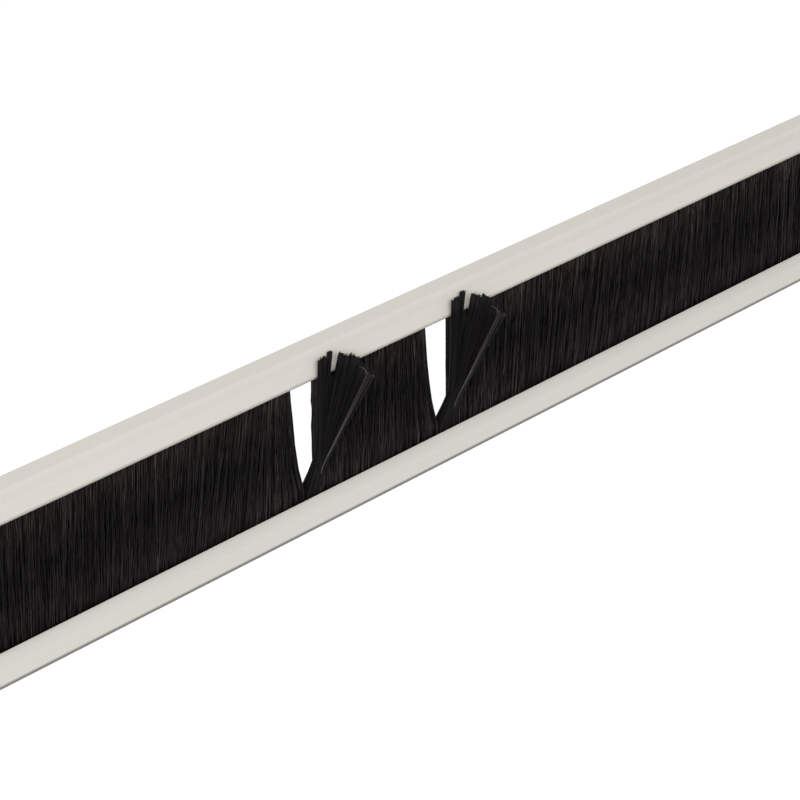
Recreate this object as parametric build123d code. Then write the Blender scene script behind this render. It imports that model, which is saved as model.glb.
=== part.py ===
from build123d import *
import os
from math import cos, pi, sqrt

# Rack brush strip panel, 19-inch and one unit high, in millimetres.
# X runs along the panel, Z is up and the front faces -Y. While a piece is being built,
# y = 0 is the front face and z = 0 the bottom edge. At the end each piece is moved so
# that the origin is the centre of the four rack slots on the rear face of the ears.

# Front sheet
panel_width = 482.6
panel_height = 43.6
sheet = 1.2
fold_radius = 2.0
fold_relief = 1.0
ear_width = 20.3
ear_corner_radius = 0.8
top_return_depth = 5.3
shelf_depth = 12.6

# Rack slots: from the panel's edges to the middle of a slot
slot_inset_x = 8.75
slot_inset_z = 5.925
slot_width = 6.8
slot_length = 10.0

# Opening with its rolled lips
opening_margin = 11.0
upper_band_height = 7.0
lower_band_height = 7.6

# Brush channel and the wire that the filaments are folded round
channel_overlap = 7.0
channel_depth = 5.0
channel_height = 3.8
channel_wall = 0.8
channel_corner = 1.0
wire_diameter = 1.2
wire_clearance = 0.1
wire_overhang = 1.5

# Filaments: the curtain, with a fluted surface as bundled filaments have
curtain_overlap = 5.0
brush_clearance = 0.2
tip_clearance = 0.6
foot_lap = 0.3
flute_pitch = 2.5
flute_depth = 0.35

# Partings, where a tuft is pulled forward out of the curtain
parting_centre = -5.8
parting_spacing = 34.8
parting_height = 5.9
parting_flare_left = 3.1
parting_flare_right = 0.8
parting_power_left = 0.42
parting_power_right = 0.5
parting_steps = 7
tuft_width = 4.0

# Locks of a tuft: roots in the curtain, a knee in front of it, and tips that fan out
lock_count = 6
lock_length = 34.0
lock_sink = 1.0
lock_inset = 0.5
lock_lean_right = 2.0
lock_fan_right = 3.9
lock_fan_power = 0.5
lock_lean_forward = 5.4
lock_fan_forward = 7.4
lock_root_width = 1.2
lock_root_depth = 2.6
knee_rise = 5.6
knee_forward = 2.8
knee_lean_right = 1.6
knee_gather = 1.0
knee_depth = 1.6
lock_tip_width = 1.9
lock_tip_depth = 1.3

# Clamp bar that holds the channel down and against the sheet
clamp_overlap = 5.0
clamp_sheet = 1.0
clamp_finger = 0.5
clamp_finger_height = 0.8
clamp_edge_margin = 0.3

# Clinch studs, washers and nuts
stud_count = 5
stud_end_distance = 15.0
stud_diameter = 2.5
stud_head_diameter = 4.3
stud_head_height = 0.8
stud_edge_distance = 2.7
stud_end = 0.8
stud_hole_clearance = 0.4
washer_diameter = 5.0
washer_clearance = 0.2
washer_height = 0.5
nut_across_flats = 5.0
nut_height = 2.0

# Places worked out from the sizes above
folded_width = panel_width - 2 * ear_width
opening_width = folded_width - 2 * opening_margin
channel_length = opening_width + 2 * channel_overlap
curtain_width = opening_width + 2 * curtain_overlap
clamp_length = opening_width + 2 * clamp_overlap
slot_spacing_x = panel_width - 2 * slot_inset_x
slot_spacing_z = panel_height - 2 * slot_inset_z
inner_radius = fold_radius - sheet
opening_low = lower_band_height
opening_high = panel_height - upper_band_height
channel_front = sheet
channel_rear = channel_front + channel_depth
channel_floor = sheet
channel_top = channel_floor + channel_height
bundle_front = channel_front + channel_wall
bundle_rear = channel_rear - channel_wall
bundle_floor = channel_floor + channel_wall
curtain_front = max(bundle_front, fold_radius) + brush_clearance
curtain_rear = bundle_rear - brush_clearance
curtain_top = panel_height - sheet - tip_clearance
wire_y = (bundle_front + bundle_rear) / 2
wire_z = (bundle_floor + channel_top) / 2
parting_low = channel_top + parting_height
partings = [parting_centre - parting_spacing / 2, parting_centre + parting_spacing / 2]
clamp_rear = shelf_depth - clamp_edge_margin
stud_y = shelf_depth - stud_edge_distance
clamp_face = sheet + clamp_sheet
washer_face = clamp_face + washer_height
nut_face = washer_face + nut_height


def block(x_range, y_range, z_range):
    """A box between the given limits."""
    low = Vector(x_range[0], y_range[0], z_range[0])
    high = Vector(x_range[1], y_range[1], z_range[1])
    size = high - low
    return Pos(*((low + high) / 2)) * Box(size.X, size.Y, size.Z)


def along_x(section, length):
    """Push a section drawn in the Y-Z plane to both sides of the middle."""
    return extrude(Plane.YZ * section, amount=length / 2, both=True)


def fold(centre_y, centre_z, side_y, side_z, length):
    """A quarter-round fold of the sheet. The sides say which quarter of the ring stays."""
    ring = Circle(fold_radius) - Circle(inner_radius)
    quarter = Pos(side_y * fold_radius / 2, side_z * fold_radius / 2) * Rectangle(fold_radius, fold_radius)
    return along_x(Pos(centre_y, centre_z) * (ring & quarter), length)


def front_panel():
    """The folded front: ears, bands, rolled lips, top return and the shelf of the brush."""
    face = Pos(0, panel_height / 2) * RectangleRounded(panel_width, panel_height, ear_corner_radius)
    for side_x in (-1, 1):
        for side_z in (-1, 1):
            place = Pos(side_x * slot_spacing_x / 2, panel_height / 2 + side_z * slot_spacing_z / 2)
            face -= place * SlotOverall(slot_length, slot_width)
    body = extrude(Plane.XZ * face, amount=-sheet)

    relieved = folded_width / 2 + fold_relief
    through = (-sheet, 2 * sheet)
    body -= block((-relieved, relieved), through, (-sheet, fold_radius))
    body -= block((-relieved, relieved), through, (panel_height - fold_radius, panel_height + sheet))
    half = opening_width / 2
    body -= block((-half, half), through, (opening_low - fold_radius, opening_high + fold_radius))

    body += fold(fold_radius, fold_radius, -1, -1, folded_width)
    body += fold(fold_radius, panel_height - fold_radius, -1, 1, folded_width)
    lip_width = opening_width - 2 * fold_relief
    body += fold(fold_radius, opening_low - fold_radius, -1, 1, lip_width)
    body += fold(fold_radius, opening_high + fold_radius, -1, -1, lip_width)

    side = folded_width / 2
    body += block((-side, side), (fold_radius, top_return_depth), (panel_height - sheet, panel_height))
    body += block((-side, side), (fold_radius, shelf_depth), (0, sheet))
    for x in stud_places():
        body -= Pos(x, stud_y, sheet / 2) * Cylinder(stud_diameter / 2, 2 * sheet)
        body -= Pos(x, stud_y, stud_head_height / 2) * Cylinder(stud_head_diameter / 2, stud_head_height)
    return body


def stud_places():
    """Where the studs stand along the shelf."""
    reach = clamp_length - 2 * stud_end_distance
    return [(i / (stud_count - 1) - 1 / 2) * reach for i in range(stud_count)]


def trough(wall):
    """The section of the channel's outside, or of its inside when a wall is given."""
    middle = (channel_front + channel_rear) / 2
    rounded = RectangleRounded(channel_depth - 2 * wall, 2 * channel_height, channel_corner - wall)
    below_top = Pos(middle, channel_top / 2) * Rectangle(channel_depth, channel_top)
    return (Pos(middle, channel_floor + wall + channel_height) * rounded) & below_top


def brush_channel():
    """The U-channel, open at the top."""
    return along_x(trough(0) - trough(channel_wall), channel_length)


def core_wire():
    """The wire inside the fold of the filaments."""
    section = Pos(wire_y, wire_z) * Circle(wire_diameter / 2)
    return along_x(section, channel_length + 2 * wire_overhang)


def foot(x_range):
    """The folded end of the filaments, clamped in the channel round the wire."""
    tunnel = Pos(wire_y, wire_z) * Circle(wire_diameter / 2 + wire_clearance)
    start, end = x_range
    return Pos((start + end) / 2, 0, 0) * along_x(trough(channel_wall) - tunnel, end - start)


def flutes(x_range):
    """A block of the curtain's depth with a zigzag front and rear, one ridge per pitch."""
    start, end = x_range
    ridges = max(2, round((end - start) / flute_pitch))
    step = (end - start) / ridges
    front = []
    for i in range(ridges):
        front.append((start + i * step, curtain_front + flute_depth))
        front.append((start + (i + 0.5) * step, curtain_front))
    front.append((end, curtain_front + flute_depth))
    middle = (curtain_front + curtain_rear) / 2
    rear = [(x, 2 * middle - y) for x, y in reversed(front)]
    section = make_face(Polyline(*front, *rear, close=True))
    return Pos(0, 0, bundle_floor) * extrude(section, amount=curtain_top - bundle_floor)


def parting_edge(x, flare, power):
    """Points up one side of a parting, which opens quickly at first and then slowly."""
    points = []
    for i in range(parting_steps + 1):
        rise = (i / parting_steps) ** 2
        points.append((x + flare * rise**power, parting_low + rise * (curtain_top - parting_low)))
    return points


def curtain(left, right):
    """A stretch of the curtain between two limits, each of them an end or a parting."""
    left_edge = [(left, curtain_top)]
    right_edge = [(right, curtain_top)]
    if left in partings:
        left = left + tuft_width
        left_edge = parting_edge(left, parting_flare_right, parting_power_right)
    if right in partings:
        right_edge = parting_edge(right, -parting_flare_left, parting_power_left)
    low = channel_top - foot_lap
    outline = [(left, low)] + left_edge + right_edge[::-1] + [(right, low)]
    face = make_face(Polyline(*outline, close=True))
    slab = extrude(Plane.XZ * face, amount=-2 * curtain_rear)
    reach = (min(x for x, z in outline), max(x for x, z in outline))
    return (slab & flutes(reach)) + foot((left, right))


def lock(x, share):
    """One lock: out of the curtain at its knee, then straight to a wider, flat tip."""
    y = (curtain_front + curtain_rear) / 2
    z = parting_low - lock_sink
    lean_right = lock_lean_right + lock_fan_right * share**lock_fan_power
    lean_forward = lock_lean_forward + lock_fan_forward * share**2
    rise = sqrt(lock_length**2 - lean_right**2 - lean_forward**2)
    knee_x = x + knee_lean_right - knee_gather * share
    root = Pos(x, y, z) * Rectangle(lock_root_width, lock_root_depth)
    knee = Pos(knee_x, y - knee_forward, z + knee_rise) * Rectangle(lock_root_width, knee_depth)
    tip = Pos(x + lean_right, y - lean_forward, z + rise) * Rectangle(lock_tip_width, lock_tip_depth)
    return loft([root, knee, tip], ruled=True)


def parted_tuft(x):
    """A tuft pulled out of the parting: a column in the channel that fans into locks."""
    body = foot((x, x + tuft_width))
    body += block((x, x + tuft_width), (curtain_front, curtain_rear), (channel_top - foot_lap, parting_low))
    first_root = x + lock_root_width / 2 + lock_inset
    room = tuft_width - lock_root_width - 2 * lock_inset
    for i in range(lock_count):
        share = i / (lock_count - 1)
        body += lock(first_root + share * room, share)
    return body


def clamp_bar():
    """The rail behind the channel: base on the shelf, leg, and a finger over the channel."""
    top = channel_top + clamp_finger_height
    half = clamp_length / 2
    body = block((-half, half), (channel_rear, clamp_rear), (sheet, clamp_face))
    body += block((-half, half), (channel_rear, channel_rear + clamp_sheet), (sheet, top))
    body += block((-half, half), (channel_rear - clamp_finger, channel_rear), (channel_top, top))
    for x in stud_places():
        body -= Pos(x, stud_y, sheet) * Cylinder((stud_diameter + stud_hole_clearance) / 2, 4 * sheet)
    return body


def clinch_stud(x):
    """A threaded stud with its head flush in the underside of the shelf."""
    height = nut_face + stud_end
    body = Pos(x, stud_y, stud_head_height / 2) * Cylinder(stud_head_diameter / 2, stud_head_height)
    return body + Pos(x, stud_y, height / 2) * Cylinder(stud_diameter / 2, height)


def washer(x):
    """A flat washer on the clamp bar."""
    ring = Circle(washer_diameter / 2) - Circle((stud_diameter + washer_clearance) / 2)
    return Pos(x, stud_y, clamp_face) * extrude(ring, amount=washer_height)


def nut(x):
    """A hexagon nut, two of its flats along the clamp bar, with chamfered corners."""
    corner_radius = nut_across_flats / 2 / cos(pi / 6)
    prism = extrude(RegularPolygon(corner_radius, 6) - Circle(stud_diameter / 2), amount=nut_height)
    cone_height = nut_height + corner_radius
    crown = Cone(corner_radius + nut_height / 2, 0, cone_height, align=(Align.CENTER, Align.CENTER, Align.MIN))
    return Pos(x, stud_y, washer_face) * (prism & crown)


def all_pieces():
    """Every piece by its node name, in the building frame."""
    ends = (-curtain_width / 2, curtain_width / 2)
    pieces = {
        "front_panel": front_panel(),
        "brush_channel": brush_channel(),
        "core_wire": core_wire(),
        "bristles_left": curtain(ends[0], partings[0]),
        "bristles_middle": curtain(partings[0], partings[1]),
        "bristles_right": curtain(partings[1], ends[1]),
        "parted_tuft_left": parted_tuft(partings[0]),
        "parted_tuft_right": parted_tuft(partings[1]),
        "clamp_bar": clamp_bar(),
    }
    for i, x in enumerate(stud_places(), start=1):
        pieces[f"clinch_stud_{i}"] = clinch_stud(x)
        pieces[f"washer_{i}"] = washer(x)
        pieces[f"nut_{i}"] = nut(x)
    return pieces


os.makedirs("parts", exist_ok=True)
to_row_frame = Location((0, -sheet, -panel_height / 2))
for node, piece in all_pieces().items():
    placed = to_row_frame * piece
    export_step(placed, f"parts/{node}.step")
    print(node, len(placed.solids()), round(placed.volume, 2))
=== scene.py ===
# %% [markdown]
# A rack brush strip panel, dressed for the camera.
# The panel is a folded sheet with a long opening. Black filaments fill the opening, and in two
# places a tuft has been pulled forward, which leaves a gap behind it. The construction comes ready
# made and at its real size, so this lesson is about surfaces and about the filaments.

# %% Load the construction
import bpy
import math
import numpy as np
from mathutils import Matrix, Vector


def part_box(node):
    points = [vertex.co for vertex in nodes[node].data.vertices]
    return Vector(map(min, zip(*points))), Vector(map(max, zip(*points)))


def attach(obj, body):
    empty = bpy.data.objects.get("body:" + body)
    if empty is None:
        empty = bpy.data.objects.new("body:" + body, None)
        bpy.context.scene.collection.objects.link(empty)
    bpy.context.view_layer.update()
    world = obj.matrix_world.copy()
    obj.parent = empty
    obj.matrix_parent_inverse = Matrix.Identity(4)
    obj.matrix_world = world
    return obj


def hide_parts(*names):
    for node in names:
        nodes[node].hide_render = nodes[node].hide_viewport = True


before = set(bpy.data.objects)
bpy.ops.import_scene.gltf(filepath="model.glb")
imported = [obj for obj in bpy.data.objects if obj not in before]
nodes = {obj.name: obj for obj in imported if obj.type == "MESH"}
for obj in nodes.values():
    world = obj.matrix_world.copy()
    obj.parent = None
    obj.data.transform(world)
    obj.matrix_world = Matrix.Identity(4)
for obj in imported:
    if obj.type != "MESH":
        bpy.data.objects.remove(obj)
bpy.ops.object.select_all(action="DESELECT")
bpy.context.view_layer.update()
MM = 0.001
print("pieces in the construction:", len(nodes))

# %% [markdown]
# The camera looks down on the panel from the left. All places below are worked out from the
# front face of the sheet, so the picture keeps its framing if the panel is moved in its frame.
# A long lens from a short way off gives the slight convergence of the two bands.

# %% Camera
panel_low, panel_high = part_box("front_panel")
front_y = panel_low.y
middle_z = (panel_low.z + panel_high.z) / 2
camera_turn = math.radians(39.51)
camera_height = math.radians(36.0)
camera_distance = 426.5 * MM
aim_above_middle = 1.26 * MM
look_at = Vector((0, front_y, middle_z + aim_above_middle))
view_direction = Vector((
    math.sin(camera_turn) * math.cos(camera_height),
    math.cos(camera_turn) * math.cos(camera_height),
    -math.sin(camera_height),
))
camera_data = bpy.data.cameras.new("photo_camera")
camera_data.lens = 95.85
camera_data.sensor_width = 36
camera_data.clip_start = 0.01
camera = bpy.data.objects.new("photo_camera", camera_data)
bpy.context.scene.collection.objects.link(camera)
camera.location = look_at - camera_distance * view_direction
camera.rotation_euler = view_direction.to_track_quat("-Z", "Y").to_euler()
bpy.context.scene.camera = camera
bpy.context.scene.view_settings.view_transform = "Standard"
print("camera", [round(v, 3) for v in camera.location])

# %% [markdown]
# A shader graph is easier to read when a few short helpers make its nodes. Each helper adds one
# node, sets its sockets and joins it to what feeds it.


# %% Helpers for shader nodes
def add_node(tree, kind, **settings):
    node = tree.nodes.new(kind)
    for key, value in settings.items():
        setattr(node, key, value)
    return node


def feed(tree, source, target):
    tree.links.new(source, target)


def new_group(name, inputs, outputs):
    """An empty shader node group with float inputs, given with their defaults, and outputs."""
    group = bpy.data.node_groups.new(name, "ShaderNodeTree")
    for label, kind, default in inputs:
        socket = group.interface.new_socket(name=label, in_out="INPUT", socket_type=kind)
        socket.default_value = default
    for label, kind in outputs:
        group.interface.new_socket(name=label, in_out="OUTPUT", socket_type=kind)
    return group, group.nodes.new("NodeGroupInput"), group.nodes.new("NodeGroupOutput")


def new_material(name):
    """A material with nothing but its output and a Principled shader."""
    material = bpy.data.materials.new(name)
    material.use_nodes = True
    tree = material.node_tree
    shader = tree.nodes["Principled BSDF"]
    return material, tree, shader


def place_group(tree, group, **values):
    node = tree.nodes.new("ShaderNodeGroup")
    node.node_tree = group
    for key, value in values.items():
        node.inputs[key.replace("_", " ")].default_value = value
    return node


# %% [markdown]
# Two effects are shared. Cloudy Tone makes a colour wander slightly between two tones, as paint,
# zinc and nylon all do. Fine Relief is the small unevenness of a coated or plated skin, given
# as a height for a Bump node. Both read Object coordinates, in metres, so the pattern has a real
# size and stays on the piece.


# %% Shared effects
def cloudy_tone_group():
    group, given, out = new_group(
        "Cloudy Tone",
        [("Patch Size", "NodeSocketFloat", 0.02), ("Light Tone", "NodeSocketColor", (1, 1, 1, 1)),
         ("Dark Tone", "NodeSocketColor", (0, 0, 0, 1))],
        [("Color", "NodeSocketColor"), ("Mask", "NodeSocketFloat")],
    )
    place = add_node(group, "ShaderNodeTexCoord")
    invert = add_node(group, "ShaderNodeMath", operation="DIVIDE")
    invert.inputs[0].default_value = 1
    noise = add_node(group, "ShaderNodeTexNoise")
    noise.inputs["Detail"].default_value = 3
    mix = add_node(group, "ShaderNodeMix", data_type="RGBA")
    feed(group, given.outputs["Patch Size"], invert.inputs[1])
    feed(group, place.outputs["Object"], noise.inputs["Vector"])
    feed(group, invert.outputs[0], noise.inputs["Scale"])
    feed(group, noise.outputs["Fac"], mix.inputs["Factor"])
    feed(group, given.outputs["Dark Tone"], mix.inputs["A"])
    feed(group, given.outputs["Light Tone"], mix.inputs["B"])
    feed(group, mix.outputs["Result"], out.inputs["Color"])
    feed(group, noise.outputs["Fac"], out.inputs["Mask"])
    return group


def fine_relief_group():
    group, given, out = new_group(
        "Fine Relief",
        [("Grain Size", "NodeSocketFloat", 0.0005), ("Stretch Along X", "NodeSocketFloat", 1.0)],
        [("Height", "NodeSocketFloat")],
    )
    place = add_node(group, "ShaderNodeTexCoord")
    squeeze = add_node(group, "ShaderNodeCombineXYZ")
    stretch = add_node(group, "ShaderNodeMath", operation="DIVIDE")
    stretch.inputs[0].default_value = 1
    squeeze.inputs["Y"].default_value = 1
    squeeze.inputs["Z"].default_value = 1
    scaled = add_node(group, "ShaderNodeVectorMath", operation="MULTIPLY")
    invert = add_node(group, "ShaderNodeMath", operation="DIVIDE")
    invert.inputs[0].default_value = 1
    noise = add_node(group, "ShaderNodeTexNoise")
    noise.inputs["Detail"].default_value = 2
    feed(group, given.outputs["Stretch Along X"], stretch.inputs[1])
    feed(group, stretch.outputs[0], squeeze.inputs["X"])
    feed(group, place.outputs["Object"], scaled.inputs[0])
    feed(group, squeeze.outputs[0], scaled.inputs[1])
    feed(group, scaled.outputs[0], noise.inputs["Vector"])
    feed(group, given.outputs["Grain Size"], invert.inputs[1])
    feed(group, invert.outputs[0], noise.inputs["Scale"])
    feed(group, noise.outputs["Fac"], out.inputs["Height"])
    return group


CLOUDY_TONE = cloudy_tone_group()
FINE_RELIEF = fine_relief_group()


def add_relief(tree, shader, grain, strength, depth, stretch=1.0):
    """Fine Relief through a Bump node into the shader's normal."""
    relief = place_group(tree, FINE_RELIEF, Grain_Size=grain, Stretch_Along_X=stretch)
    bump = add_node(tree, "ShaderNodeBump")
    bump.inputs["Strength"].default_value = strength
    bump.inputs["Distance"].default_value = depth
    feed(tree, relief.outputs["Height"], bump.inputs["Height"])
    feed(tree, bump.outputs["Normal"], shader.inputs["Normal"])


def colour_ramp(tree, fraction, stops):
    """A colour ramp with the given (position, colour) stops, read at a fraction."""
    ramp = add_node(tree, "ShaderNodeValToRGB")
    elements = ramp.color_ramp.elements
    elements.remove(elements[1])
    elements[0].position, elements[0].color = stops[0][0], (*stops[0][1], 1)
    for position, colour in stops[1:]:
        elements.new(position).color = (*colour, 1)
    feed(tree, fraction, ramp.inputs["Fac"])
    return ramp.outputs["Color"]


def multiply(tree, first, second):
    tint = add_node(tree, "ShaderNodeMix", data_type="RGBA", blend_type="MULTIPLY")
    tint.inputs["Factor"].default_value = 1.0
    feed(tree, first, tint.inputs["A"])
    feed(tree, second, tint.inputs["B"])
    return tint.outputs["Result"]


# %% [markdown]
# The sheet is powder coated in a warm light grey. Powder flows out to a satin skin with a faint
# orange peel, which shows as a slightly broken highlight. The tone wanders by a hundredth or two.
# Two tables paint shade into it. By height, a dark band of painted shade lies round the bend of the
# foot, and the coat is a touch cooler on the band below the opening. By the direction that it faces
# it
# is darker the more it looks up: painted shade that takes back the extra light on the top of the
# fold, so that it doesn't glare.


# %% Powder coat
def grey(level):
    return (level, level, level)


# Height above the foot in mm, and the coat's red, green and blue there; the dark stops round the
# bend of the foot are painted shade
BELOW_OPENING = (0.936, 0.964, 0.977)
ABOVE_OPENING = grey(0.97)
COAT_AND_PAINTED_SHADE_AT_HEIGHT = (
    (0.0, grey(0.82)), (0.6, grey(0.34)), (1.7, grey(0.36)),
    (2.15, BELOW_OPENING), (7.0, BELOW_OPENING), (7.6, ABOVE_OPENING), (43.6, ABOVE_OPENING),
)
# How far the surface faces up, from 0 for down over 0.5 for upright to 1 for up, and the painted
# shade there, which takes back the extra light that falls on faces looking up
PAINTED_SHADE_BY_TILT = (
    (0.0, grey(1.0)), (0.50, grey(1.0)), (0.63, grey(0.825)), (0.75, grey(0.74)),
    (0.85, grey(0.715)), (0.93, grey(0.735)), (0.98, grey(0.78)), (1.0, grey(0.82)),
)


def powder_coat():
    material, tree, shader = new_material("powder_coat_light_grey")
    tone = place_group(
        tree, CLOUDY_TONE, Patch_Size=26 * MM,
        Light_Tone=(0.712, 0.668, 0.614, 1), Dark_Tone=(0.666, 0.650, 0.586, 1),
    )
    place = add_node(tree, "ShaderNodeTexCoord")
    facing = add_node(tree, "ShaderNodeSeparateXYZ")
    feed(tree, place.outputs["Normal"], facing.inputs["Vector"])
    upward = add_node(tree, "ShaderNodeMapRange")
    upward.inputs["From Min"].default_value = -1.0
    feed(tree, facing.outputs["Z"], upward.inputs["Value"])
    # Painted shade by facing: the more a face looks up, the darker it is painted
    tilt_shade = colour_ramp(tree, upward.outputs["Result"], PAINTED_SHADE_BY_TILT)
    where = add_node(tree, "ShaderNodeSeparateXYZ")
    feed(tree, place.outputs["Object"], where.inputs["Vector"])
    panel_share = add_node(tree, "ShaderNodeMapRange")
    panel_share.inputs["From Min"].default_value = panel_low.z
    panel_share.inputs["From Max"].default_value = panel_high.z
    feed(tree, where.outputs["Z"], panel_share.inputs["Value"])
    full_height = (panel_high.z - panel_low.z) / MM
    # Painted shade by height: a dark line round the bend of the foot
    at_height = colour_ramp(tree, panel_share.outputs["Result"], [
        (millimetres / full_height, colour) for millimetres, colour in COAT_AND_PAINTED_SHADE_AT_HEIGHT])
    # The coat's own tone times the painted shade of both tables
    coat_and_painted_shade = multiply(tree, multiply(tree, tone.outputs["Color"], tilt_shade), at_height)
    feed(tree, coat_and_painted_shade, shader.inputs["Base Color"])
    shader.inputs["Roughness"].default_value = 0.60
    shader.inputs["IOR"].default_value = 1.45
    add_relief(tree, shader, 0.7 * MM, 0.12, 0.02 * MM)
    return material


# %% [markdown]
# The steel parts behind are zinc plated. Plating is a metal with a fine drawn grain along the
# strip, so the relief is stretched along X and the roughness follows the cloudy mask.


# %% Zinc and steel
def metal(name, light, dark, patch, roughness, grain, stretch, relief):
    material, tree, shader = new_material(name)
    tone = place_group(tree, CLOUDY_TONE, Patch_Size=patch, Light_Tone=light, Dark_Tone=dark)
    feed(tree, tone.outputs["Color"], shader.inputs["Base Color"])
    spread = add_node(tree, "ShaderNodeMapRange")
    spread.inputs["To Min"].default_value = roughness - 0.08
    spread.inputs["To Max"].default_value = roughness + 0.08
    feed(tree, tone.outputs["Mask"], spread.inputs["Value"])
    feed(tree, spread.outputs["Result"], shader.inputs["Roughness"])
    shader.inputs["Metallic"].default_value = 1.0
    add_relief(tree, shader, grain, relief, 0.02 * MM, stretch)
    return material


# %% [markdown]
# The filaments are black nylon. Each one carries two numbers in its UV map: U is its own chance
# value, and V runs from its root to its tip. U sets how black it is, so that single lighter hairs
# stand out. V makes it blackest at half its height and lighter toward the tip, and lifts it most
# just above the root, which is painted light against the shade of the lower lip. A streaky noise
# along the filament scuffs it.


# %% Nylon
def nylon():
    material, tree, shader = new_material("nylon_black_filament")
    strand = add_node(tree, "ShaderNodeUVMap", uv_map="strand")
    split = add_node(tree, "ShaderNodeSeparateXYZ")
    feed(tree, strand.outputs["UV"], split.inputs["Vector"])
    own = colour_ramp(tree, split.outputs["X"], [
        (0.0, (0.0034, 0.0031, 0.0032)),
        (0.60, (0.0080, 0.0073, 0.0075)),
        (0.90, (0.0120, 0.0111, 0.0112)),
        (0.96, (0.019, 0.018, 0.018)),
        (0.98, (0.045, 0.045, 0.045)),
        (1.0, (0.100, 0.100, 0.100)),
    ])
    # Tone by height; the lift just above the root is painted light against the lower lip's shade
    height = colour_ramp(tree, split.outputs["Y"], [
        (0.085, (1.00, 0.98, 0.78)),
        (0.11, (2.90, 2.77, 2.50)),
        (0.16, (2.40, 2.24, 2.28)),
        (0.28, (1.55, 1.42, 1.50)),
        (0.50, (0.88, 0.80, 0.86)),
        (0.70, (1.68, 1.58, 1.48)),
        (0.86, (3.05, 3.00, 2.54)),
    ])
    spread = add_node(tree, "ShaderNodeVectorMath", operation="MULTIPLY")
    spread.inputs[1].default_value = (900, 9, 1)
    feed(tree, strand.outputs["UV"], spread.inputs[0])
    scuff = add_node(tree, "ShaderNodeTexNoise")
    scuff.inputs["Scale"].default_value = 1.0
    scuff.inputs["Detail"].default_value = 2
    feed(tree, spread.outputs[0], scuff.inputs["Vector"])
    scuffed = colour_ramp(tree, scuff.outputs["Fac"], [(0.35, grey(0.50)), (0.70, grey(1.8))])
    feed(tree, multiply(tree, multiply(tree, own, height), scuffed), shader.inputs["Base Color"])
    gloss = add_node(tree, "ShaderNodeMapRange")
    gloss.inputs["To Min"].default_value = 0.60
    gloss.inputs["To Max"].default_value = 0.42
    feed(tree, scuff.outputs["Fac"], gloss.inputs["Value"])
    feed(tree, gloss.outputs["Result"], shader.inputs["Roughness"])
    shader.inputs["Specular IOR Level"].default_value = 0.07
    return material


# %% All materials
PAINT = powder_coat()
CHANNEL_ZINC = metal(
    "galvanised_channel", light=(0.60, 0.61, 0.62, 1), dark=(0.44, 0.45, 0.47, 1), patch=3 * MM,
    roughness=0.42, grain=0.4 * MM, stretch=6.0, relief=0.2)
CLAMP_ZINC = metal(
    "zinc_clamp_rail", light=(0.62, 0.62, 0.60, 1), dark=(0.50, 0.50, 0.49, 1), patch=6 * MM,
    roughness=0.36, grain=0.3 * MM, stretch=20.0, relief=0.25)
WIRE_STEEL = metal(
    "drawn_steel_wire", light=(0.42, 0.42, 0.43, 1), dark=(0.33, 0.33, 0.34, 1), patch=2 * MM,
    roughness=0.33, grain=0.2 * MM, stretch=12.0, relief=0.2)
FASTENER_ZINC = metal(
    "bright_zinc_fastener", light=(0.68, 0.69, 0.70, 1), dark=(0.56, 0.57, 0.60, 1), patch=2 * MM,
    roughness=0.26, grain=0.2 * MM, stretch=1.0, relief=0.15)
NYLON = nylon()
print("materials:", [m.name for m in bpy.data.materials if m.users])


# %% [markdown]
# A real sheet has no knife edges: punching and coating leave every edge slightly round, and a
# round edge catches a line of light. The construction's meshes may not be changed, so each metal
# piece is copied, its loose triangles are merged, flat areas are made whole faces again, and a
# Bevel modifier rounds the sharp edges.


# %% Rounded copies of the metal pieces
def rounded_copy(node_name, piece_name, material, edge_radius, segments=2):
    """A copy of a construction piece with round edges, which then stands for that piece."""
    piece = bpy.data.objects.new(piece_name, nodes[node_name].data.copy())
    bpy.context.scene.collection.objects.link(piece)
    bpy.context.view_layer.objects.active = piece
    piece.select_set(True)
    bpy.ops.object.mode_set(mode="EDIT")
    bpy.ops.mesh.select_all(action="SELECT")
    bpy.ops.mesh.remove_doubles(threshold=0.001 * MM)
    bpy.ops.mesh.dissolve_limited(angle_limit=math.radians(0.5))
    bpy.ops.object.mode_set(mode="OBJECT")
    bevel = piece.modifiers.new("round_edges", "BEVEL")
    bevel.width = edge_radius
    bevel.segments = segments
    bevel.limit_method = "ANGLE"
    bevel.angle_limit = math.radians(40)
    bevel.use_clamp_overlap = True
    bpy.ops.object.modifier_apply(modifier="round_edges")
    bpy.ops.object.shade_smooth_by_angle(angle=math.radians(35))
    flatten = piece.modifiers.new("flat_faces_stay_flat", "WEIGHTED_NORMAL")
    flatten.keep_sharp = True
    bpy.ops.object.modifier_apply(modifier="flat_faces_stay_flat")
    piece.select_set(False)
    piece.data.materials.clear()
    piece.data.materials.append(material)
    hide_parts(node_name)
    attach(piece, "root")
    print(piece_name, "triangles about", sum(len(p.vertices) - 2 for p in piece.data.polygons))
    return piece


rounded_copy("front_panel", "coated_front", PAINT, 0.15 * MM)
rounded_copy("brush_channel", "pressed_channel", CHANNEL_ZINC, 0.1 * MM)
rounded_copy("clamp_bar", "clamp_rail", CLAMP_ZINC, 0.1 * MM)
rounded_copy("core_wire", "wire_core", WIRE_STEEL, 0.1 * MM)
stud_numbers = sorted(int(name.rsplit("_", 1)[1]) for name in nodes if name.startswith("nut_"))
for number in stud_numbers:
    rounded_copy(f"nut_{number}", f"hex_nut_{number}", FASTENER_ZINC, 0.12 * MM)
    rounded_copy(f"washer_{number}", f"flat_washer_{number}", FASTENER_ZINC, 0.06 * MM)

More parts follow.
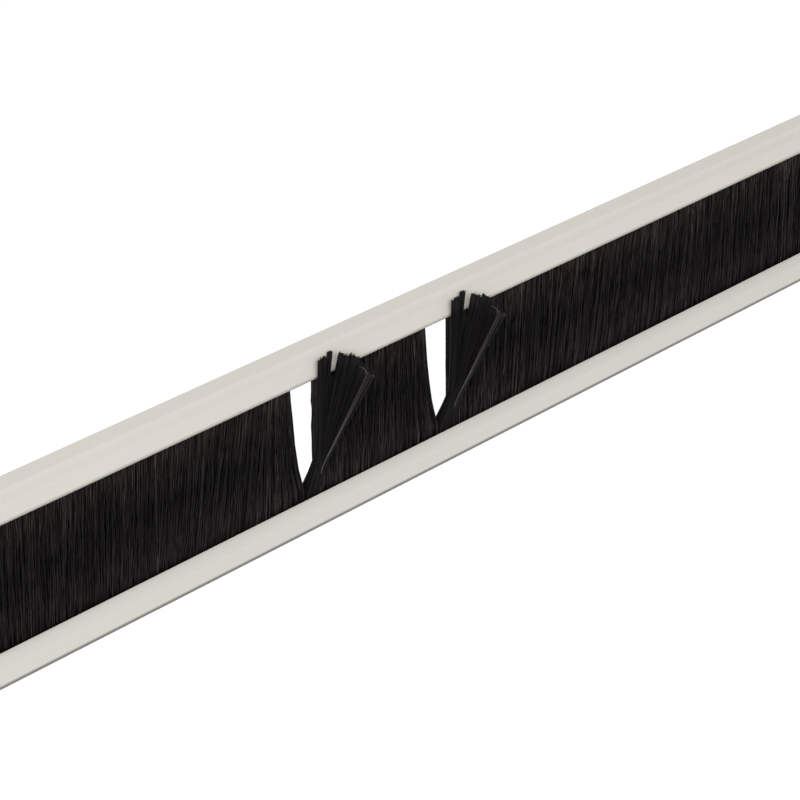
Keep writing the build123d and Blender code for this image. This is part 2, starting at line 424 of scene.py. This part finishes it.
# %% [markdown]
# The studs are pressed into the shelf from below and end in a fine thread, of which the last turns
# stand out of the nut. One stud is modelled for all five. A short cylinder becomes the head, its
# upper face is inset and pulled up twice to make the shank and the narrower core of the thread,
# and the thread is a small closed profile that a Screw modifier winds up round that core.


# %% One threaded stud
stud_low, stud_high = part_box("clinch_stud_1")
nut_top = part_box("nut_1")[1].z
head_radius = (stud_high.x - stud_low.x) / 2
head_height = 0.8 * MM
shank_radius = 1.25 * MM
core_radius = 1.03 * MM
thread_pitch = 0.45 * MM
thread_turns = 3
thread_start = nut_top - 0.5 * MM - stud_low.z


def select_top_face(piece):
    """Leave edit mode with only the highest face of the piece selected, and return to it."""
    bpy.ops.object.mode_set(mode="OBJECT")
    heights = [face.center.z for face in piece.data.polygons]
    for part_list in (piece.data.vertices, piece.data.edges, piece.data.polygons):
        part_list.foreach_set("select", [False] * len(part_list))
    piece.data.polygons[heights.index(max(heights))].select = True
    bpy.ops.object.mode_set(mode="EDIT")


def pull_up(piece, narrower, height, taper=1.0):
    """Inset the top face by a width and extrude it up, tapered by a factor."""
    select_top_face(piece)
    if narrower:
        bpy.ops.mesh.inset(thickness=narrower)
    bpy.ops.mesh.extrude_region_move(TRANSFORM_OT_translate={"value": (0, 0, height)})
    bpy.ops.transform.resize(value=(taper, taper, 1))


def stud_body():
    bpy.ops.mesh.primitive_cylinder_add(
        vertices=32, radius=head_radius, depth=head_height, location=(0, 0, head_height / 2))
    body = bpy.context.active_object
    bpy.ops.object.transform_apply(location=True)
    bpy.ops.object.mode_set(mode="EDIT")
    bpy.ops.mesh.select_mode(type="FACE")
    pull_up(body, head_radius - shank_radius, thread_start - head_height)
    tip_bevel = 0.12 * MM
    pull_up(body, shank_radius - core_radius, stud_high.z - stud_low.z - thread_start - tip_bevel)
    pull_up(body, 0, tip_bevel, 0.86)
    bpy.ops.object.mode_set(mode="OBJECT")
    body.select_set(False)
    return body


def stud_thread():
    flank = thread_pitch * 0.42
    crest = thread_pitch * 0.08
    profile = [
        (core_radius - 0.06 * MM, -flank), (shank_radius, -crest),
        (shank_radius, crest), (core_radius - 0.06 * MM, flank),
    ]
    mesh = bpy.data.meshes.new("thread_profile")
    mesh.from_pydata([(r, 0, z) for r, z in profile], [(0, 1), (1, 2), (2, 3), (3, 0)], [])
    thread = bpy.data.objects.new("thread_profile", mesh)
    bpy.context.scene.collection.objects.link(thread)
    bpy.context.view_layer.objects.active = thread
    thread.select_set(True)
    winding = thread.modifiers.new("winding", "SCREW")
    winding.steps = winding.render_steps = 24
    winding.iterations = thread_turns
    winding.screw_offset = thread_pitch
    bpy.ops.object.modifier_apply(modifier="winding")
    bpy.ops.object.mode_set(mode="EDIT")
    bpy.ops.mesh.select_all(action="SELECT")
    bpy.ops.mesh.fill_holes(sides=4)
    bpy.ops.mesh.select_all(action="SELECT")
    bpy.ops.mesh.normals_make_consistent(inside=False)
    top_of_winding = stud_high.z - stud_low.z - 0.12 * MM - flank
    bpy.ops.transform.translate(value=(0, 0, top_of_winding - thread_turns * thread_pitch))
    bpy.ops.object.mode_set(mode="OBJECT")
    return thread


body, thread = stud_body(), stud_thread()
body.select_set(True)
thread.select_set(True)
bpy.context.view_layer.objects.active = body
bpy.ops.object.join()
bpy.ops.object.shade_smooth_by_angle(angle=math.radians(35))
body.select_set(False)
for number in stud_numbers:
    low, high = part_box(f"clinch_stud_{number}")
    stud = bpy.data.objects.new(f"threaded_stud_{number}", body.data.copy())
    bpy.context.scene.collection.objects.link(stud)
    foot = Vector(((low.x + high.x) / 2, (low.y + high.y) / 2, low.z))
    for vertex in stud.data.vertices:
        vertex.co += foot
    stud.data.materials.append(FASTENER_ZINC)
    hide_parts(f"clinch_stud_{number}")
    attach(stud, "root")
bpy.data.objects.remove(body)
print("threaded studs", len(stud_numbers), "height", round((stud_high.z - stud_low.z) / MM, 2))


# %% [markdown]
# One filament is modelled by hand: a rod of three or four sides one unit long, cut across so
# that it can bend, and drawn in a little at its tip. It is only a pattern. Every filament of the
# brush is this pattern again, stretched along a path of its own, and with thousands of them the
# copying is done with arrays of numbers, which takes a second or two where operators would
# take hours.


# %% The pattern of one filament
def filament_pattern(sides, cuts):
    """Corner places (n, 3) and faces of one filament of radius 1 and length 1."""
    bpy.ops.mesh.primitive_cylinder_add(vertices=sides, radius=1, depth=1, location=(0, 0, 0.5))
    rod = bpy.context.active_object
    bpy.ops.object.mode_set(mode="EDIT")
    bpy.ops.mesh.select_mode(type="EDGE")
    bpy.ops.mesh.select_all(action="DESELECT")
    bpy.ops.object.mode_set(mode="OBJECT")
    for edge in rod.data.edges:
        a, b = (rod.data.vertices[i].co for i in edge.vertices)
        edge.select = abs(a.z - b.z) > 0.5
    bpy.ops.object.mode_set(mode="EDIT")
    bpy.ops.mesh.subdivide(number_cuts=cuts)
    bpy.ops.mesh.select_mode(type="VERT")
    bpy.ops.mesh.select_all(action="DESELECT")
    bpy.ops.object.mode_set(mode="OBJECT")
    for vertex in rod.data.vertices:
        vertex.select = vertex.co.z + 0.5 > 0.99
    bpy.ops.object.mode_set(mode="EDIT")
    bpy.ops.transform.resize(value=(0.6, 0.6, 1))
    bpy.ops.object.mode_set(mode="OBJECT")
    corners = np.array([v.co for v in rod.data.vertices])
    corners[:, 2] = np.round(corners[:, 2] + 0.5, 4)
    faces = [tuple(p.vertices) for p in rod.data.polygons]
    bpy.data.objects.remove(rod)
    return corners, faces, np.unique(corners[:, 2])


CURTAIN_PATTERN = filament_pattern(sides=3, cuts=3)
BEND_PATTERN = filament_pattern(sides=3, cuts=5)
TUFT_PATTERN = filament_pattern(sides=4, cuts=7)
print("faces of the patterns:", [len(p[1]) for p in (CURTAIN_PATTERN, BEND_PATTERN, TUFT_PATTERN)])


# %% [markdown]
# The next helper turns many paths into one brush piece. A bundle is a pattern with a path for each
# filament, given at each level of the pattern, and each corner of the pattern is carried to the
# path's place at its level. Most of the curtain is nearly straight and takes the plain pattern.
# The filaments beside a parting bend and have more cuts, and those of a tuft are the finest.


# %% Many filaments in one mesh
def bundle_arrays(pattern, paths, radii, chance, turn, v_span):
    """Corner places, faces and UV pairs of one bundle. The last argument is the V value at roots and
    at tips.
    """
    corners, faces, levels = pattern
    count, size = len(paths), len(corners)
    level_of = np.searchsorted(levels, corners[:, 2])
    cos_turn, sin_turn = np.cos(turn)[:, None], np.sin(turn)[:, None]
    places = paths[:, level_of, :].copy()
    places[:, :, 0] += (corners[:, 0] * cos_turn - corners[:, 1] * sin_turn) * radii[:, None]
    places[:, :, 1] += (corners[:, 0] * sin_turn + corners[:, 1] * cos_turn) * radii[:, None]
    all_faces = [[i + size * k for i in face] for k in range(count) for face in faces]
    along = v_span[0] + corners[:, 2] * (v_span[1] - v_span[0])
    uv = np.stack([np.repeat(chance, size), np.tile(along, count)], axis=1)
    return places.reshape(-1, 3), all_faces, uv


def brush_piece(name, bundles):
    """One mesh of all the filaments of some bundles."""
    places, faces, uvs = [], [], []
    for bundle in bundles:
        some_places, some_faces, some_uvs = bundle_arrays(*bundle)
        before = sum(len(p) for p in places)
        places.append(some_places)
        faces.extend([[i + before for i in face] for face in some_faces])
        uvs.append(some_uvs)
    mesh = bpy.data.meshes.new(name)
    mesh.from_pydata(np.concatenate(places).tolist(), [], faces)
    strand = mesh.uv_layers.new(name="strand")
    corner_vertex = np.empty(len(mesh.loops), np.int64)
    mesh.loops.foreach_get("vertex_index", corner_vertex)
    strand.data.foreach_set("uv", np.concatenate(uvs)[corner_vertex].astype(np.float32).ravel())
    mesh.polygons.foreach_set("use_smooth", np.ones(len(mesh.polygons), bool))
    mesh.update()
    piece = bpy.data.objects.new(name, mesh)
    bpy.context.scene.collection.objects.link(piece)
    mesh.materials.append(NYLON)
    count = sum(len(bundle[1]) for bundle in bundles)
    print(name, "filaments", count, "triangles", sum(len(face) - 2 for face in faces))
    return piece


def dress(piece, node_name):
    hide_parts(node_name)
    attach(piece, "root")


# %% [markdown]
# The curtain stands in the channel and reaches up behind the top band. Its filaments aren't
# ruler straight: neighbours lean together in slow waves along the strip, each has a little lean
# and bow of its own, and beside a parting they are pushed away from it.


# %% Sizes of the brush
curtain_low, curtain_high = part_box("bristles_left")
middle_low, middle_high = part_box("bristles_middle")
right_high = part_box("bristles_right")[1]
channel_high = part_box("brush_channel")[1]
# The partings stand a few tenths of a millimetre beside those of the solids
parting_left = curtain_high.x + 0.43 * MM
parting_right = middle_high.x - 0.2 * MM
tuft_width = middle_low.x - curtain_high.x
filament_radius = 0.125 * MM
filaments_per_mm = 36
curtain_inset = 0.4 * MM
brush_front = curtain_low.y + curtain_inset
brush_rear = curtain_high.y - curtain_inset
root_z = channel_high.z - 1.2 * MM
tip_z = curtain_high.z
tip_raggedness = 1.2 * MM
# Below this height a parting is closed
parting_z = channel_high.z + 6.35 * MM
root_middle_y = (brush_front + brush_rear) / 2
edge_filaments = 40
# How far from a parting the filaments are held straighter, and how far its push reaches
calm_reach = 7 * MM
push_reach = 5 * MM
# For each parting: the foot of the curtain on its left, how far that is pushed left at the top, how
# the push grows with height, then the foot of the curtain on its right and its push to the right
PARTINGS = (
    (parting_left + 0.2 * MM, 3.1 * MM, 0.42, parting_left + tuft_width + 0.1 * MM, 0.1 * MM),
    (parting_right + 0.8 * MM, 4.5 * MM, 0.57, parting_right + tuft_width + 1.1 * MM, -0.6 * MM),
)
print("partings at", parting_left / MM, parting_right / MM, "tuft", tuft_width / MM)


# %% How the curtain leans
def natural_lean(x):
    """Sideways travel for each unit of height, for places x along the strip."""
    places = np.array([-150, -105, -41, 62, 120, 185]) * MM
    widths = np.array([20, 14, 12, 14, 18, 15]) * MM
    degrees = np.array([3.0, -2.0, 6.0, 4.5, -2.5, 2.0])
    lean = 2.0 - 4.3 * np.tanh(x / (80 * MM))
    for place, width, degree in zip(places, widths, degrees):
        lean = lean + degree * np.exp(-(((x - place) / width) ** 2) / 2)
    return np.tan(np.radians(lean))


def curtain_bundle(pattern, x_range, seed):
    """A bundle of the filaments that stand between two places along the strip."""
    rng = np.random.default_rng(seed)
    start, end = x_range
    count = int((end - start) / MM * filaments_per_mm)
    x = start + (np.arange(count) + rng.uniform(0, 1, count)) / count * (end - start)
    y = rng.uniform(brush_front, brush_rear, count)
    # Every fifth filament stands in one straight row, so that the curtain lets no light through,
    # and a parting's edge gets a row of its own from front to rear, so that it is a clean edge
    loose = np.where(np.arange(count) % 5 == 0, 0.0, 1.0)
    y[loose == 0] = root_middle_y
    for foot in [row[column] for row in PARTINGS for column in (0, 3)]:
        if foot in x_range:
            inward = 1 if foot == start else -1
            x = np.append(x, foot + inward * rng.uniform(0.05, 0.5, edge_filaments) * MM)
            y = np.append(y, np.linspace(brush_front, brush_rear, edge_filaments))
            loose = np.append(loose, np.zeros(edge_filaments))
    count = len(x)
    top = tip_z - rng.uniform(0, tip_raggedness, count)
    rise = pattern[2][None, :]
    z = root_z + rise * (top - root_z)[:, None]
    travel = z - root_z
    freedom = np.ones(count)
    for row in PARTINGS:
        for foot in (row[0], row[3]):
            freedom *= 1 - np.exp(-np.abs(x - foot) / calm_reach)
    own = rng.normal(0, 0.022, count) * (0.1 + 0.9 * freedom) * loose
    side = (natural_lean(x) * freedom + own)[:, None] * travel
    wander = rng.normal(0, 0.16 * MM, z.shape) * np.minimum(rise * 4, 1)
    wander *= ((0.25 + 0.75 * freedom) * (0.15 + 0.85 * loose))[:, None]
    above = np.clip((z - parting_z) / (tip_z - parting_z), 0, 1)
    push = np.zeros_like(z)
    for foot_left, flare_left, growth, foot_right, flare_right in PARTINGS:
        left_of = (x < (foot_left + foot_right) / 2)[:, None]
        d_left = np.maximum(foot_left - x, 0)[:, None]
        d_right = np.maximum(x - foot_right, 0)[:, None]
        push -= left_of * flare_left * above**growth * np.exp(-d_left / push_reach)
        push += (~left_of) * flare_right * above * np.exp(-d_right / push_reach)
    depth = rng.normal(0, 0.40 * MM, z.shape) * np.minimum(rise * 4, 1) * loose[:, None]
    paths = np.stack([x[:, None] + side + wander + push, y[:, None] + depth, z], axis=2)
    paths[:, :, 1] = np.clip(paths[:, :, 1], brush_front - 0.1 * MM, brush_rear + 0.1 * MM)
    paths[:, :, 0] = np.clip(paths[:, :, 0], curtain_low.x, right_high.x)
    radii = filament_radius * rng.uniform(0.85, 1.15, count)
    chance = rng.uniform(0, 0.962, count)
    return pattern, paths, radii, chance, rng.uniform(0, np.pi / 2, count), (0.0, 1.0)


# %% The three stretches of curtain
bend_reach = 14 * MM
left_foot, middle_start = PARTINGS[0][0], PARTINGS[0][3]
middle_foot, right_start = PARTINGS[1][0], PARTINGS[1][3]
left_bend, right_bend = left_foot - bend_reach, right_start + bend_reach
stretches = {
    "left": [
        curtain_bundle(CURTAIN_PATTERN, (curtain_low.x, left_bend), 11),
        curtain_bundle(BEND_PATTERN, (left_bend, left_foot), 12),
    ],
    "middle": [curtain_bundle(BEND_PATTERN, (middle_start, middle_foot), 13)],
    "right": [
        curtain_bundle(BEND_PATTERN, (right_start, right_bend), 14),
        curtain_bundle(CURTAIN_PATTERN, (right_bend, right_high.x), 15),
    ],
}
for side_name, bundles in stretches.items():
    dress(brush_piece(f"filaments_{side_name}", bundles), f"bristles_{side_name}")

# %% [markdown]
# A tuft has been drawn out of each parting and has stayed there: it comes up out of the channel
# with its neighbours, bends forward over a knee, and fans out to the right over the top band in
# locks that end at ragged heights. A few hairs are lighter, and some curl at the end.


# %% The tufts
tuft_filaments = 520
bend_start_z = parting_z - 1 * MM
knee_z = parting_z + 4.6 * MM
knee_forward = 2.8 * MM
knee_from = 2.0 * MM
knee_width = 1.6 * MM
tuft_depth = brush_rear - brush_front
foremost_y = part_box("parted_tuft_left")[0].y + 0.2 * MM
# Tips of the locks from left to right: the share of the filaments that lie to the left of a tip,
# then its place along X and its distance forward, both from the parting and in mm
TIP_LINE = np.array([
    [0.00, 1.0, 5.6], [0.16, 4.1, 5.0], [0.28, 5.1, 5.1],
    [0.29, 5.65, 6.2], [0.42, 6.3, 6.6], [0.55, 7.5, 7.3],
    [0.70, 8.35, 9.1], [0.86, 8.65, 11.4], [1.00, 8.65, 13.0],
])
# Where one lock ends and the next begins, as shares of the filaments, how tightly the filaments
# of a lock lie together, and how long each lock is from the bend's start
LOCK_EDGES = np.array([0, 0.14, 0.285, 0.42, 0.55, 0.70, 0.86, 1.0])
LOCK_TIGHTNESS = 0.80
LOCK_LENGTHS = np.array([33.1, 33.8, 33.5, 33.3, 33.7, 33.2, 33.0]) * MM
# Between the second and third locks is a slit. The filaments this near to it, as a share, are
# short and fill its foot, between two places on the tip line and up to a share of the length
SLIT_SHARE = 0.022
SLIT_FROM, SLIT_WIDTH = 0.2705, 0.028
SLIT_LENGTH = 0.80


def tuft_bundle(place, root_start, root_end, tip_shift, shorter, seed):
    """The filaments of one tuft: up, forward over a knee, and out to the fan."""
    rng = np.random.default_rng(seed)
    levels = TUFT_PATTERN[2]
    share = (np.arange(tuft_filaments) + rng.uniform(0, 1, tuft_filaments)) / tuft_filaments
    lock = np.clip(np.searchsorted(LOCK_EDGES, share) - 1, 0, len(LOCK_LENGTHS) - 1)
    middle = (LOCK_EDGES[lock] + LOCK_EDGES[lock + 1]) / 2
    gathered = middle + (share - middle) * LOCK_TIGHTNESS
    short = np.abs(share - LOCK_EDGES[2]) < SLIT_SHARE
    across_slit = (share - LOCK_EDGES[2] + SLIT_SHARE) / (2 * SLIT_SHARE)
    gathered = np.where(short, SLIT_FROM + across_slit * SLIT_WIDTH, gathered)
    reach = np.where(short, SLIT_LENGTH + rng.uniform(-0.01, 0.01, tuft_filaments), 1.0)
    tip_x = place + tip_shift + np.interp(gathered, TIP_LINE[:, 0], TIP_LINE[:, 1]) * MM
    forward = np.interp(gathered, TIP_LINE[:, 0], TIP_LINE[:, 2]) * MM
    layer = rng.uniform(-1, 1, tuft_filaments)
    root_x = place + root_start + (root_end - root_start) * share
    root_y = root_middle_y + layer * tuft_depth / 2
    tip_y = root_middle_y - forward + layer * 0.4 * MM
    tip_x = tip_x + rng.normal(0, 0.10 * MM, tuft_filaments)
    length = LOCK_LENGTHS[lock] - shorter + rng.normal(0, 0.25 * MM, tuft_filaments)
    rise = np.sqrt(length**2 - (tip_x - root_x) ** 2 - forward**2)
    tip_z_each = np.minimum(bend_start_z + rise, panel_high.z - 0.1 * MM)
    knee_x = place + root_start + knee_from + knee_width * share
    knee_y = root_middle_y - knee_forward + layer * 0.55 * MM
    ones = np.ones(tuft_filaments)
    knee = np.stack([knee_x, knee_y, ones * knee_z], axis=1)
    tip = np.stack([tip_x, tip_y, tip_z_each], axis=1)
    tip = knee + (tip - knee) * reach[:, None]
    corners = np.stack([
        np.stack([root_x, root_y, ones * root_z], axis=1),
        np.stack([root_x, root_y, ones * bend_start_z], axis=1), knee, tip,
    ], axis=1)
    height = (corners[:, :, 2] - corners[:, :1, 2]) / (corners[:, 3:, 2] - corners[:, :1, 2])
    paths = np.empty((tuft_filaments, len(levels), 3))
    for axis in range(3):
        for k in range(tuft_filaments):
            paths[k, :, axis] = np.interp(levels, height[k], corners[k, :, axis])
    eased = paths.copy()
    eased[:, 1:-1] = (paths[:, :-2] + 4 * paths[:, 1:-1] + paths[:, 2:]) / 6
    bow = np.sin(np.pi * levels)[None, :]
    eased[:, :, 0] += rng.normal(0, 0.12 * MM, tuft_filaments)[:, None] * bow
    eased[:, :, 1] = np.maximum(eased[:, :, 1], foremost_y)
    radii = filament_radius * rng.uniform(0.9, 1.2, tuft_filaments)
    chance = rng.uniform(0, 1, tuft_filaments) ** 2 * 0.45
    return TUFT_PATTERN, eased, radii, chance, rng.uniform(0, np.pi / 2, tuft_filaments), (0.40, 0.54)


# %% [markdown]
# A few thin hairs lie on the outer side of each fan. They are lighter than the rest,
# and some curl at the end where they were cut hot. Each is a bent copy of the same pattern.


# %% Lighter hairs on the fans
LIGHT_HAIR_PATTERN = filament_pattern(sides=4, cuts=15)
# Share along the fan at the knee and at the tip, height over the fan in mm, thickness for its
# kind, chance value (how light), length as a share of the lock's, then the radius of the curl at
# its end in mm, to the right or (negative) to the left, and how far round it goes in degrees
LIGHT_HAIRS = (
    (1.02, 1.00, 0.50, 0.45, 0.978, 1.03, 0.0, 0),
    (0.97, 0.95, 0.55, 0.40, 0.974, 0.95, 0.0, 0),
    (0.90, 0.86, 0.55, 0.95, 0.955, 0.97, 0.0, 0),
    (0.91, 0.88, 0.60, 0.95, 0.958, 0.98, 0.0, 0),
    (0.93, 0.89, 0.60, 0.60, 0.966, 0.95, 0.0, 0),
    (0.89, 0.88, 0.80, 0.50, 0.990, 0.96, -1.6, 118),
    (0.92, 0.91, 0.90, 0.50, 0.992, 0.99, -0.45, 200),
    (0.94, 0.94, 0.80, 0.50, 0.992, 0.99, 0.40, 170),
    (0.66, 0.68, 0.60, 0.40, 0.955, 0.88, 0.0, 0),
    (0.45, 0.47, 0.60, 0.40, 0.955, 0.78, 0.0, 0),
)
FAN_OUTWARD = Vector((-0.73, -0.68, 0))
FAN_SIDEWAYS = Vector((0.56, -0.76, -0.32))
LIGHT_HAIR_LENGTH = 33.2 * MM
# Shares of a lighter hair's length at which its bend starts, its knee lies and its curl starts
START_LEVEL = 0.1
KNEE_LEVEL = 0.2
CURL_LEVEL = 0.55


def light_hair_bundle(place, root_start, root_end, tip_shift, shorter):
    """The lighter hairs of one fan: out of the front of the brush, over the knee, up to the tip."""
    levels = LIGHT_HAIR_PATTERN[2]
    paths = []
    for knee_share, tip_share, front, thickness, lightness, length, radius, degrees in LIGHT_HAIRS:
        lift = FAN_OUTWARD * front * MM
        knee_x = place + root_start + knee_from + knee_width * knee_share
        knee = Vector((knee_x, root_middle_y - knee_forward, knee_z)) + lift
        tip_forward = float(np.interp(tip_share, TIP_LINE[:, 0], TIP_LINE[:, 2])) * MM
        tip_x = place + tip_shift + float(np.interp(tip_share, TIP_LINE[:, 0], TIP_LINE[:, 1])) * MM
        foot_x = place + root_start + (root_end - root_start) * knee_share
        foot = Vector((foot_x, brush_front + 0.3 * MM, root_z))
        start = Vector((foot_x, brush_front - 0.15 * MM, bend_start_z))
        rise = math.sqrt((LIGHT_HAIR_LENGTH - shorter) ** 2 - (tip_x - start.x) ** 2 - tip_forward**2)
        tip = Vector((tip_x, root_middle_y - tip_forward, start.z + rise)) + lift
        tip = knee + (tip - knee) * length
        along = (tip - knee).normalized()
        curl_level = CURL_LEVEL if radius else 1.0
        path = []
        for level in levels:
            if level < START_LEVEL:
                point = foot.lerp(start, level / START_LEVEL)
            elif level < KNEE_LEVEL:
                point = start.lerp(knee, (level - START_LEVEL) / (KNEE_LEVEL - START_LEVEL))
            else:
                point = knee.lerp(tip, min((level - KNEE_LEVEL) / (curl_level - KNEE_LEVEL), 1.0))
            if level > curl_level:
                turn = math.radians(degrees) * (level - curl_level) / (1 - curl_level)
                point = point + FAN_SIDEWAYS * (radius * MM * (1 - math.cos(turn)))
                point = point + along * (abs(radius) * MM * math.sin(turn))
            point.y = max(point.y, foremost_y)
            path.append(point)
        paths.append(path)
    table = np.array(LIGHT_HAIRS)
    count = len(LIGHT_HAIRS)
    radii = filament_radius * table[:, 3]
    return LIGHT_HAIR_PATTERN, np.array(paths), radii, table[:, 4], np.zeros(count), (0.40, 0.58)


# %% Both tufts
# The parting's place, start and end of the tuft's foot from there, shift of its tips to the
# right, and how much shorter it is
TUFT_SHAPES = {
    "left": (parting_left, 0.4 * MM, 4.1 * MM, 0.0, 0.0),
    "right": (parting_right, 1.1 * MM, 5.0 * MM, -0.9 * MM, 0.45 * MM),
}
for seed, (side_name, shape) in enumerate(TUFT_SHAPES.items(), start=31):
    piece = brush_piece(f"fanned_tuft_{side_name}", [tuft_bundle(*shape, seed), light_hair_bundle(*shape)])
    dress(piece, f"parted_tuft_{side_name}")


# %% [markdown]
# The set is plain: a pale floor well below the panel, which a rack would hold in the air, and
# soft light. The large lamp stands near the camera, so that the tufts hide most of their own
# shadow, and a weak one lights the fold from behind. The background is white for the camera and
# for reflections only, through Light Path, so that it adds no light to the panel.


# %% Floor and world
def seen_directly(tree):
    """1 for camera, glossy and transmission rays, 0 for the rays that carry soft light."""
    path = add_node(tree, "ShaderNodeLightPath")
    first = add_node(tree, "ShaderNodeMath", operation="MAXIMUM")
    second = add_node(tree, "ShaderNodeMath", operation="MAXIMUM")
    feed(tree, path.outputs["Is Camera Ray"], first.inputs[0])
    feed(tree, path.outputs["Is Glossy Ray"], first.inputs[1])
    feed(tree, first.outputs[0], second.inputs[0])
    feed(tree, path.outputs["Is Transmission Ray"], second.inputs[1])
    return second.outputs[0]


bpy.ops.mesh.primitive_plane_add(size=8, location=(0, 0, panel_low.z - 160 * MM))
floor = bpy.context.active_object
floor.name = "studio_floor"
floor.select_set(False)
floor_material = bpy.data.materials.new("pale_floor")
floor_material.use_nodes = True
floor_tree = floor_material.node_tree
floor_tree.nodes.remove(floor_tree.nodes["Principled BSDF"])
floor_output = floor_tree.nodes["Material Output"]
matte = add_node(floor_tree, "ShaderNodeBsdfDiffuse")
matte.inputs["Color"].default_value = (0.16, 0.16, 0.16, 1)
glow = add_node(floor_tree, "ShaderNodeEmission")
glow.inputs["Color"].default_value = (1, 1, 1, 1)
glow.inputs["Strength"].default_value = 0.90
glow_mix = add_node(floor_tree, "ShaderNodeMixShader")
together = add_node(floor_tree, "ShaderNodeAddShader")
nothing = add_node(floor_tree, "ShaderNodeEmission")
nothing.inputs["Strength"].default_value = 0.0
feed(floor_tree, seen_directly(floor_tree), glow_mix.inputs["Fac"])
feed(floor_tree, nothing.outputs[0], glow_mix.inputs[1])
feed(floor_tree, glow.outputs[0], glow_mix.inputs[2])
feed(floor_tree, matte.outputs[0], together.inputs[0])
feed(floor_tree, glow_mix.outputs[0], together.inputs[1])
feed(floor_tree, together.outputs[0], floor_output.inputs["Surface"])
floor.data.materials.append(floor_material)

world = bpy.data.worlds.new("plain_studio")
bpy.context.scene.world = world
world.use_nodes = True
world_tree = world.node_tree
background = world_tree.nodes["Background"]
backdrop = add_node(world_tree, "ShaderNodeBackground")
backdrop.inputs["Color"].default_value = (1, 1, 1, 1)
backdrop.inputs["Strength"].default_value = 1.0
background.inputs["Color"].default_value = (1, 1, 1, 1)
background.inputs["Strength"].default_value = 0.30
world_mix = add_node(world_tree, "ShaderNodeMixShader")
feed(world_tree, seen_directly(world_tree), world_mix.inputs["Fac"])
feed(world_tree, background.outputs[0], world_mix.inputs[1])
feed(world_tree, backdrop.outputs[0], world_mix.inputs[2])
feed(world_tree, world_mix.outputs[0], world_tree.nodes["World Output"].inputs["Surface"])


# %% Lamps
def soft_lamp(name, direction, distance, size, power):
    """An area lamp that shines at the middle of the panel from the given direction."""
    data = bpy.data.lights.new(name, "AREA")
    data.shape = "RECTANGLE"
    data.size, data.size_y = size
    data.energy = power
    lamp = bpy.data.objects.new(name, data)
    bpy.context.scene.collection.objects.link(lamp)
    outward = Vector(direction).normalized()
    lamp.location = outward * distance
    lamp.rotation_euler = (-outward).to_track_quat("-Z", "Y").to_euler()
    return lamp


soft_lamp("front_softbox", (-0.515, -0.624, 0.60), 2.4, (2.1, 1.05), 80)
soft_lamp("top_softbox", (0.1, 0.7, 0.8), 1.5, (1.8, 0.8), 4.0)

# %% The end
bpy.context.view_layer.update()
